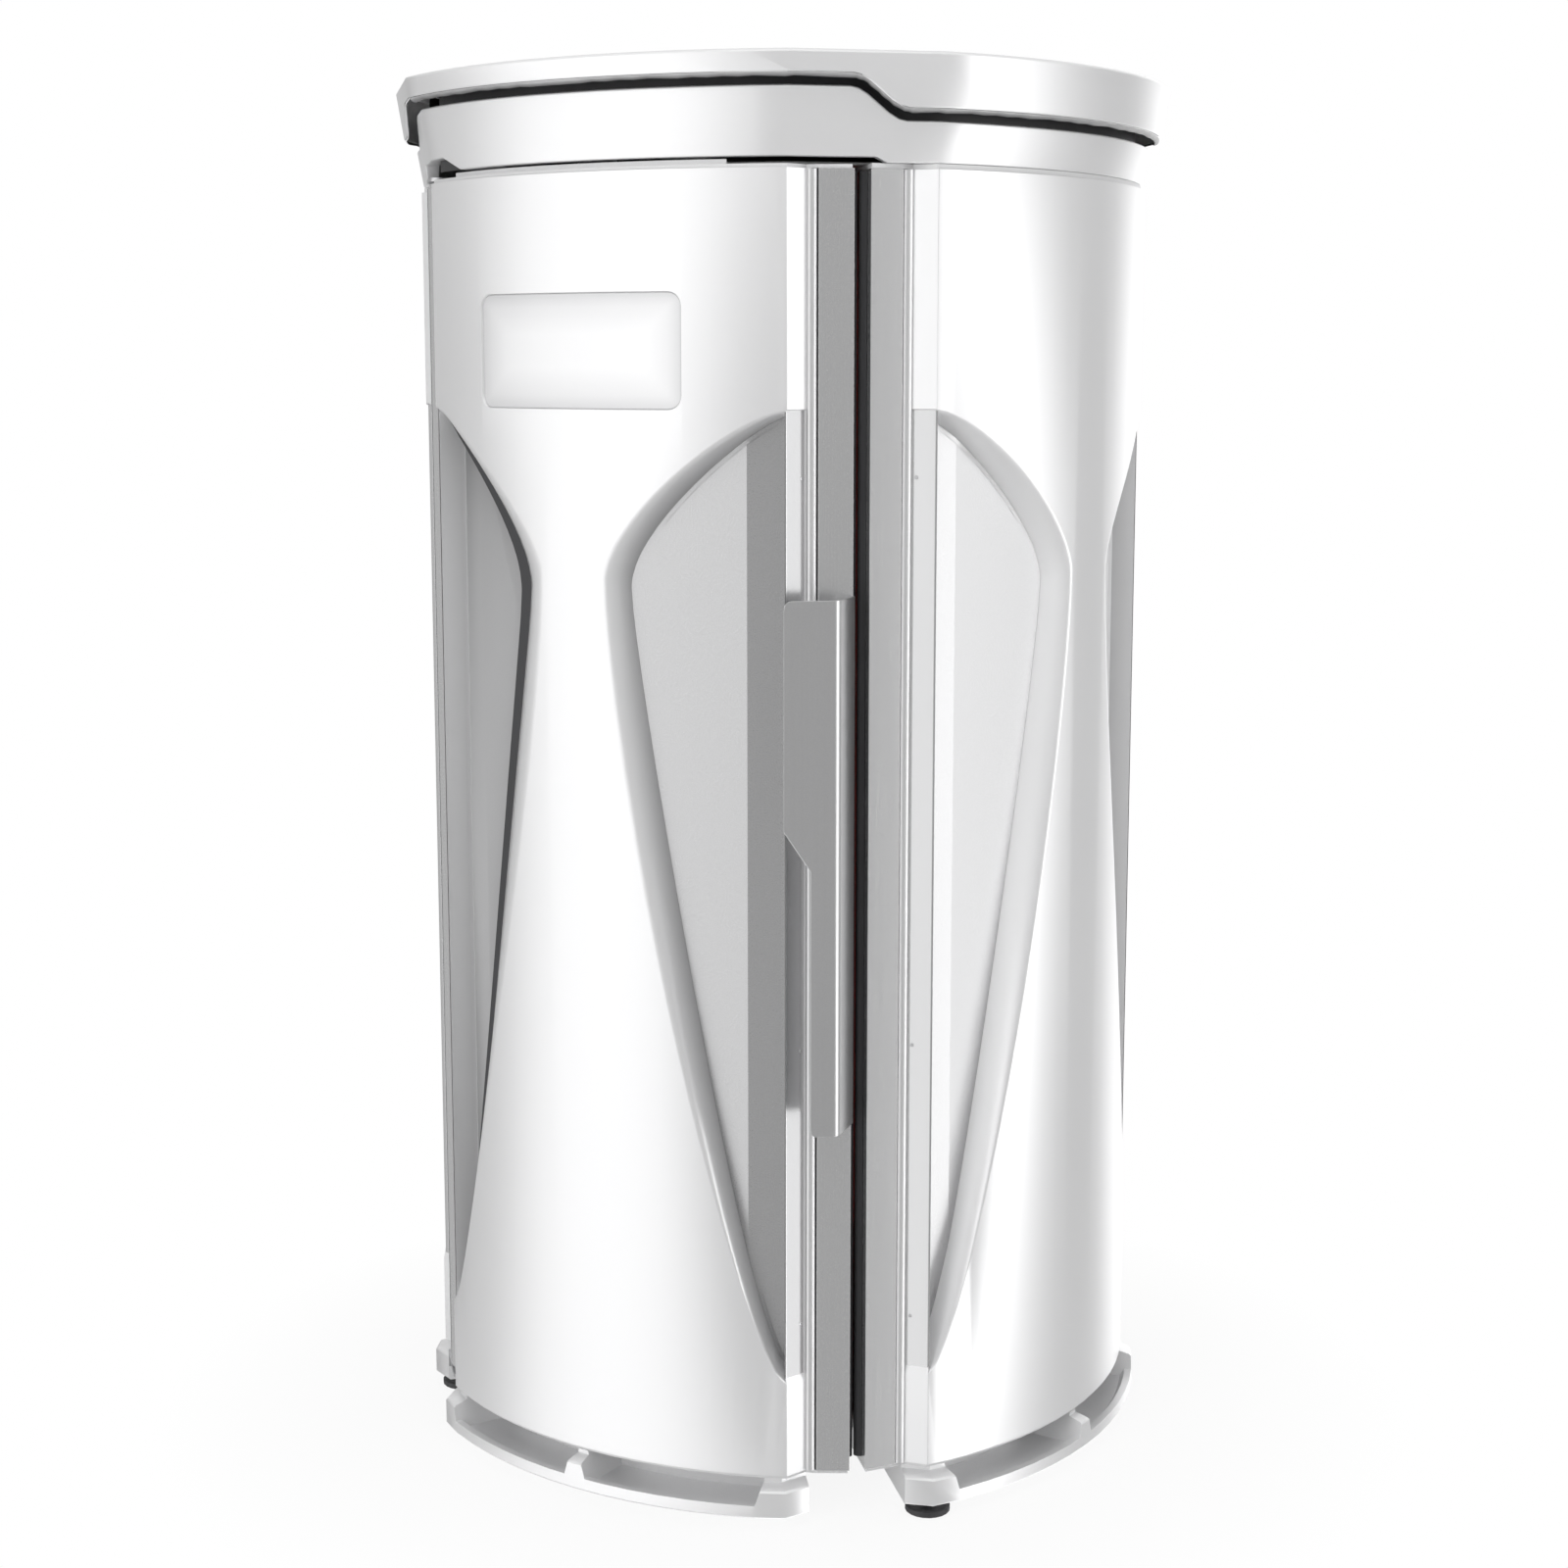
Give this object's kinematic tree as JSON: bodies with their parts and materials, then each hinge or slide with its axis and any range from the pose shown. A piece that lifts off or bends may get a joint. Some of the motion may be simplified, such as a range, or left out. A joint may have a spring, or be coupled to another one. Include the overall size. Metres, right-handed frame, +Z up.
{
  "type": "red light therapy booth",
  "caption": "Round standing light therapy booth with hourglass relief panels, satin aluminium seams, a swinging quarter door with a sheet handle, and a flared vented crown.",
  "frame": {"origin": "on the floor, under the middle of the cabin, at the middle of the centre foot", "axes": "+Z up, -Y towards the front where the door's opening seam is, +X to the right seen from the front"},
  "size_m": [1.2594, 1.2857, 2.25],
  "materials": {
    "white_gloss": "gloss moulded white",
    "white_satin": "satin white powder coat",
    "grey_satin": "satin silver grey",
    "satin_aluminium": "fine satin anodised",
    "black_rubber": "matt black",
    "lamp_board": "satin white coated aluminium board",
    "white_board": "white laminate on a board",
    "clear_acrylic": "clear polished sheet",
    "black_plastic": "matt black",
    "zinc_steel": "zinc plated",
    "grey_steel": "dark grey coat",
    "grey_mat": "ribbed matt grey",
    "green_button": "green cap",
    "red_button": "red cap"
  },
  "bodies": {
    "cabin": {"front_right_shell": "white_gloss", "front_right_insert_a": "grey_satin", "front_right_insert_b": "grey_satin", "front_right_base": "white_gloss", "front_right_bottom_plate": "white_satin", "front_right_lamp_board": "lamp_board", "front_right_shield": "clear_acrylic", "rear_right_shell": "white_gloss", "rear_right_insert_a": "grey_satin", "rear_right_insert_b": "grey_satin", "rear_right_base": "white_gloss", "rear_right_bottom_plate": "white_satin", "rear_right_lamp_board": "lamp_board", "rear_right_shield": "clear_acrylic", "rear_left_shell": "white_gloss", "rear_left_insert_a": "grey_satin", "rear_left_insert_b": "grey_satin", "rear_left_base": "white_gloss", "rear_left_bottom_plate": "white_satin", "rear_left_lamp_board": "lamp_board", "rear_left_shield": "clear_acrylic", "front_stile": "satin_aluminium", "left_stile": "satin_aluminium", "right_post": "satin_aluminium", "rear_post": "satin_aluminium", "roof_frame": "white_satin", "crown_fascia": "white_gloss", "crown_cap": "white_gloss", "ceiling_panel": "white_satin", "fan_shroud": "black_plastic", "power_supply": "grey_steel", "floor_platform": "white_board", "floor_mat": "grey_mat", "centre_foot": "black_rubber", "front_foot": "black_rubber", "right_foot": "black_rubber", "rear_foot": "black_rubber", "left_foot": "black_rubber", "lower_pivot": "zinc_steel", "upper_pivot": "zinc_steel", "frame_seal": "black_rubber", "hinge_seal": "black_rubber", "control_panel": "black_plastic", "power_inlet": "black_plastic"},
    "door": {"door_shell": "white_gloss", "door_insert_a": "grey_satin", "door_insert_b": "grey_satin", "door_base": "white_gloss", "door_bottom_plate": "white_satin", "door_top_plate": "white_satin", "door_lamp_board": "lamp_board", "door_shield": "clear_acrylic", "door_seam_stile": "satin_aluminium", "door_hinge_stile": "satin_aluminium", "door_seal": "black_rubber", "door_handle": "satin_aluminium"},
    "fan": {"fan_rotor": "black_plastic"},
    "start": {"start_button": "green_button"},
    "stop": {"stop_button": "red_button"}
  },
  "joints": [
    {"name": "door_hinge", "type": "hinge", "parent": "cabin", "child": "door", "pos_m": [-0.57, -0.035, 0], "axis": [0, 0, -1], "range_deg": [0, 105]},
    {"name": "fan_spin", "type": "hinge", "parent": "cabin", "child": "fan", "pos_m": [0, 0, 2.13], "axis": [0, 0, 1], "continuous": true},
    {"name": "start_press", "type": "slide", "parent": "cabin", "child": "start", "axis": [1, 0, 0], "range_m": [0, 0.0025], "stiffness_N_per_m": 600},
    {"name": "stop_press", "type": "slide", "parent": "cabin", "child": "stop", "axis": [1, 0, 0], "range_m": [0, 0.0025], "stiffness_N_per_m": 600}
  ]
}
